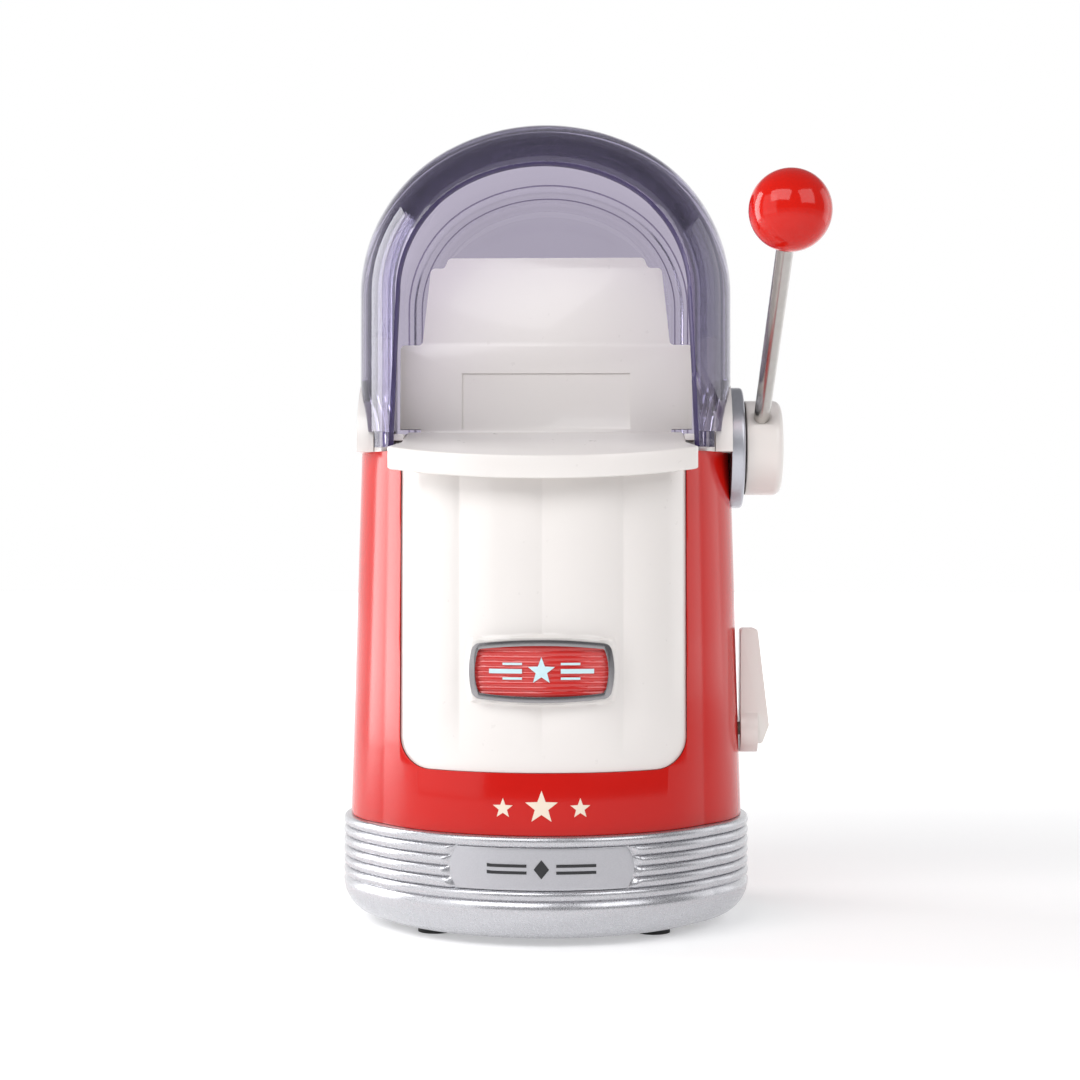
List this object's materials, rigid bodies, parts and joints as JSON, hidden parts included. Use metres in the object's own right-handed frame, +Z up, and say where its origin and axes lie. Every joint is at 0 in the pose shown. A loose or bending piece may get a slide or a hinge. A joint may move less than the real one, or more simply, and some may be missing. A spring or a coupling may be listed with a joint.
{
  "type": "popcorn maker",
  "caption": "Hot-air popcorn maker with a lobed body, clear bubble dome, serving ramp, and a side lever that tips a gate to push popcorn out of the mouth.",
  "frame": {"origin": "centre of the four-lobed base, on the table under the feet", "axes": "+Z up through the dome, -Y towards the serving mouth, +X towards the side with the lever"},
  "size_m": [0.219, 0.23, 0.376],
  "materials": {
    "red_gloss": "high-gloss moulded body, tomato red",
    "white_gloss": "glossy warm white moulding",
    "silver_plastic": "silver metallic lacquer on moulded ribs",
    "silver_plate": "satin silver plate",
    "silver_trim": "satin silver ring",
    "chrome_trim": "dark chrome badge frame",
    "badge_red": "glossy red badge insert with fine ribs",
    "red_ball": "high-gloss ball",
    "smoke_clear": "transparent smoky lilac plastic, polished",
    "steel": "bright drawn steel",
    "black_rubber": "matt black washer",
    "foot_rubber": "matt dark rubber",
    "dark_plastic": "fine-grained black moulding",
    "nylon": "natural nylon",
    "silicone": "translucent heat-resistant silicone",
    "chamber_alu": "drawn aluminium cup",
    "duct_steel": "plated sheet steel",
    "mica": "layered mica board",
    "heater_wire": "oxidised resistance wire",
    "ceramic_white": "unglazed ceramic",
    "board_green": "lacquered circuit board"
  },
  "bodies": {
    "housing": {"base_pan": "silver_plastic", "name_plate": "silver_plate", "intake_grille": "dark_plastic", "rubber_feet": "foot_rubber", "base_screws": "steel", "cord_gland": "dark_plastic", "body_shell": "red_gloss", "chute_panel": "white_gloss", "badge_frame": "chrome_trim", "badge_insert": "badge_red", "deck": "white_gloss", "deck_screws": "steel", "serving_ramp": "white_gloss", "shaft_bush_right": "nylon", "shaft_bush_left": "nylon", "hub_escutcheon": "silver_trim", "hub_washer": "black_rubber", "return_spring": "steel", "popping_chamber": "chamber_alu", "chamber_gasket": "silicone", "air_duct": "duct_steel", "heater_frame": "mica", "heater_coil": "heater_wire", "blower_housing": "dark_plastic", "motor_bracket": "duct_steel", "bracket_screws": "steel", "motor_can": "duct_steel", "thermostat": "duct_steel", "thermal_fuse": "ceramic_white", "rectifier_board": "board_green", "terminal_block": "nylon", "switch_body": "dark_plastic"},
    "lever": {"lever_hub": "white_gloss", "lever_rod": "steel", "ball_knob": "red_ball", "hub_screw": "steel", "drive_shaft": "steel", "shaft_clips": "steel", "gate": "white_gloss", "gate_screws": "steel"},
    "dome": {"dome": "smoke_clear"},
    "power_knob": {"power_knob": "white_gloss", "knob_spindle": "nylon"},
    "fan": {"motor_shaft": "steel", "fan_impeller": "dark_plastic"}
  },
  "joints": [
    {"name": "lever_pull", "type": "hinge", "parent": "housing", "child": "lever", "pos_m": [0, 0, 0.224], "axis": [1, 0, 0], "range_deg": [0, 55], "stiffness_Nm_per_rad": 0.12, "springref_deg": -57.3},
    {"name": "dome_lift", "type": "slide", "parent": "housing", "child": "dome", "axis": [0, 0, 1], "range_m": [0, 0.16]},
    {"name": "power_turn", "type": "hinge", "parent": "housing", "child": "power_knob", "pos_m": [0.095, 0, 0.09], "axis": [1, 0, 0], "range_deg": [0, 60]},
    {"name": "fan_spin", "type": "hinge", "parent": "housing", "child": "fan", "pos_m": [0, 0.033, 0.07], "axis": [0, 0, 1], "continuous": true}
  ]
}
